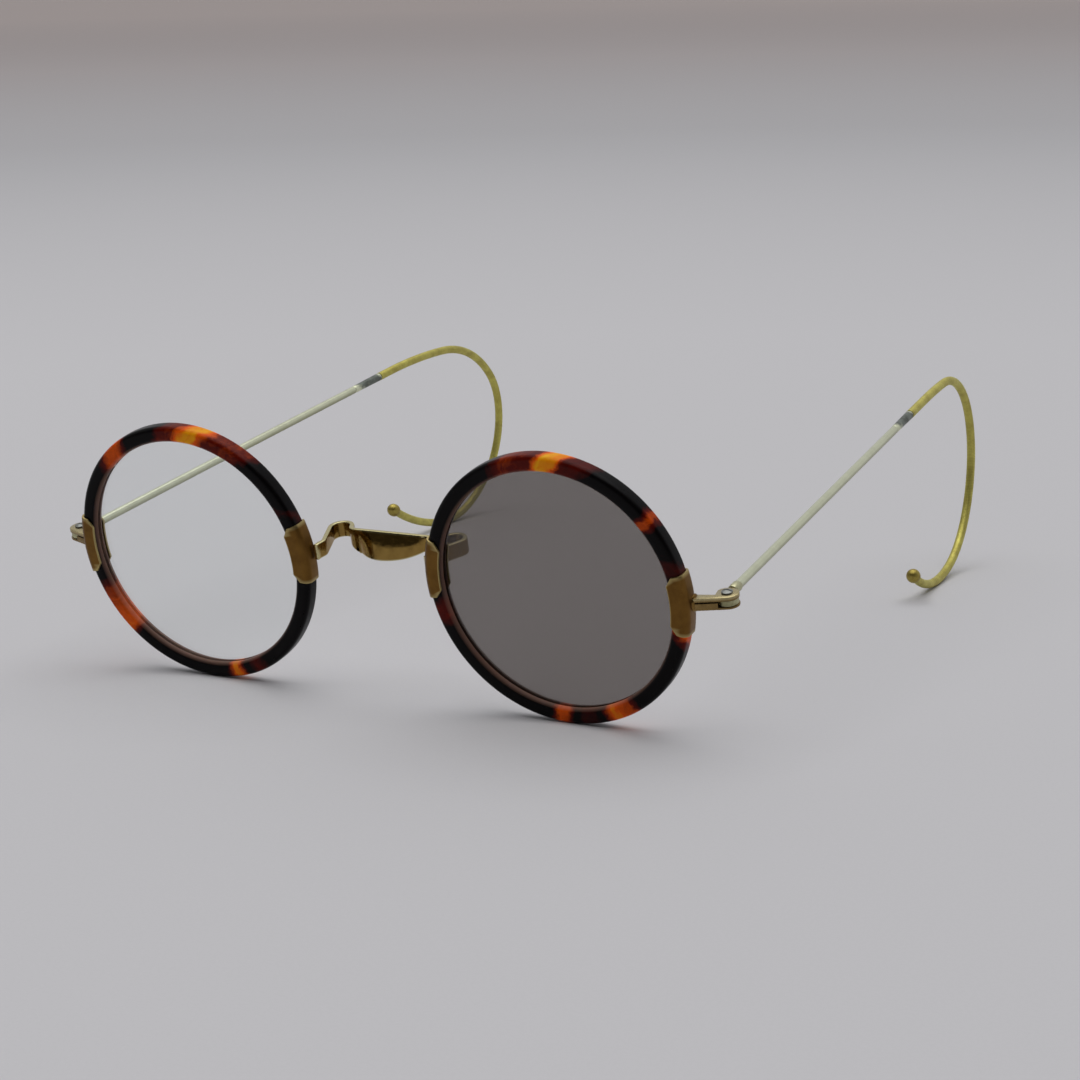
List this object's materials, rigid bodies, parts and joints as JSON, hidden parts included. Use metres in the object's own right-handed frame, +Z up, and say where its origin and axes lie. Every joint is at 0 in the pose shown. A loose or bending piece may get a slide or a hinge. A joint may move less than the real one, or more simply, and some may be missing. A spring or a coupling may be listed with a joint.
{
  "type": "reading glasses",
  "caption": "Round-eye spectacles with mottled rims held by metal clamps, a looped saddle bridge, hinged wire temples and wound ear curls that end in small balls.",
  "frame": {"origin": "middle of the footprint on the table, under the spectacles standing open on the rims and a curl", "axes": "+Y runs back along the temples from the lenses to the ear curls, +Z up, +X to the wearer's left"},
  "size_m": [0.1188, 0.1418, 0.042],
  "materials": {
    "rim_celluloid": "polished, mottled dark brown, orange and black",
    "clear_lens": "clear",
    "grey_lens": "neutral grey tint",
    "clamp_brass": "darkened bronze brown with bright edges",
    "bridge_brass": "worn, satin",
    "screw_steel": "bright",
    "wire_metal": "pale, silvery, smooth",
    "solder": "dull grey",
    "cable_metal": "olive yellow, finely wound"
  },
  "bodies": {
    "front": {"left_rim": "rim_celluloid", "right_rim": "rim_celluloid", "left_lens": "grey_lens", "right_lens": "clear_lens", "left_nose_clamp": "clamp_brass", "right_nose_clamp": "clamp_brass", "left_hinge_clamp": "clamp_brass", "right_hinge_clamp": "clamp_brass", "bridge": "bridge_brass", "left_hinge_arm": "bridge_brass", "right_hinge_arm": "bridge_brass", "left_hinge_screw": "screw_steel", "right_hinge_screw": "screw_steel"},
    "left_temple": {"left_butt": "wire_metal", "left_wire": "wire_metal", "left_splice": "solder", "left_cable_core": "cable_metal", "left_cable": "cable_metal", "left_ball": "cable_metal"},
    "right_temple": {"right_butt": "wire_metal", "right_wire": "wire_metal", "right_splice": "solder", "right_cable_core": "cable_metal", "right_cable": "cable_metal", "right_ball": "cable_metal"}
  },
  "joints": [
    {"name": "left_temple_hinge", "type": "hinge", "parent": "front", "child": "left_temple", "pos_m": [0.0577, -0.06212, 0.02169], "axis": [0, -0.2079, 0.9781], "range_deg": [-5, 85.5]},
    {"name": "right_temple_hinge", "type": "hinge", "parent": "front", "child": "right_temple", "pos_m": [-0.0577, -0.06212, 0.02169], "axis": [0, 0.2079, -0.9781], "range_deg": [-5, 84]}
  ]
}
